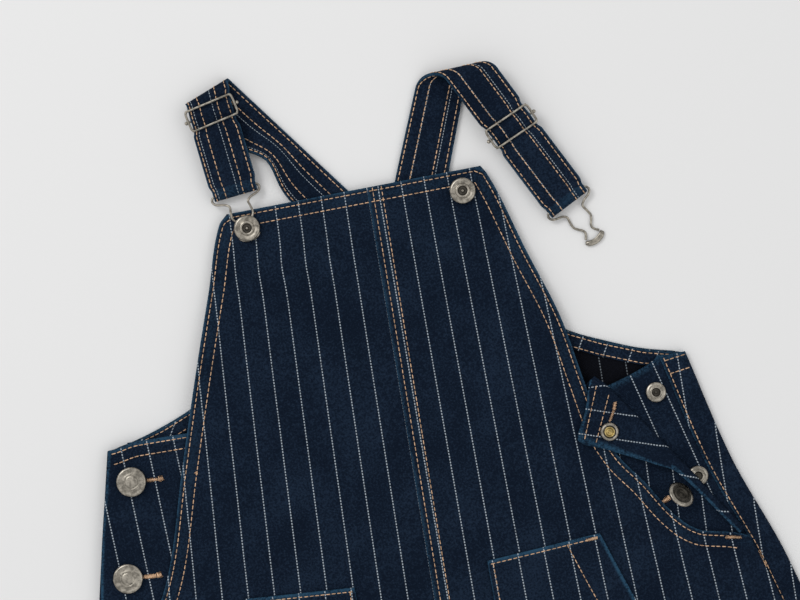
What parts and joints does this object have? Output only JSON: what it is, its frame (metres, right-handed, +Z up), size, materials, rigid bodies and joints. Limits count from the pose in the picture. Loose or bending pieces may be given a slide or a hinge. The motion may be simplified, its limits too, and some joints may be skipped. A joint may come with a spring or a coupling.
{
  "type": "overall skirt",
  "caption": "Denim overall skirt with pinstripes, laid out flat: bib, scooped buttoned sides, patch pockets, and straps with sliders and wire hooks.",
  "frame": {"origin": "centre of the bounding box's base, on the surface that the garment lies on", "axes": "+Z up off that surface, +Y from the hem to the straps, +X towards the wearer's left side"},
  "size_m": [0.505, 0.5724, 0.0182],
  "materials": {
    "denim": "dark indigo twill with dotted white pinstripes and worn edges",
    "denim_inside": "wrong side of dark twill",
    "thread": "tan topstitching",
    "nickel": "antique nickel",
    "brass": "bright brass"
  },
  "bodies": {
    "root": {"back_panel": "denim", "back_band": "denim", "underlay_left": "denim", "underlay_right": "denim", "side_piece_left": "denim", "side_piece_right": "denim", "front_left": "denim", "front_right": "denim", "pocket_left": "denim", "pocket_right": "denim", "strap_left": "denim", "strap_right": "denim", "slider_left": "nickel", "slider_right": "nickel", "slider_bar_left": "nickel", "slider_bar_right": "nickel", "hook_left": "nickel", "hook_right": "nickel", "hook_plate_left": "nickel", "hook_plate_right": "nickel", "bib_button_left": "nickel", "bib_button_right": "nickel", "side_button_left_upper": "nickel", "side_button_left_lower": "nickel", "side_button_right_upper": "nickel", "side_button_right_lower": "nickel", "side_socket_right_upper": "brass", "stud_right_upper": "nickel", "stud_right_lower": "nickel"}
  },
  "joints": []
}
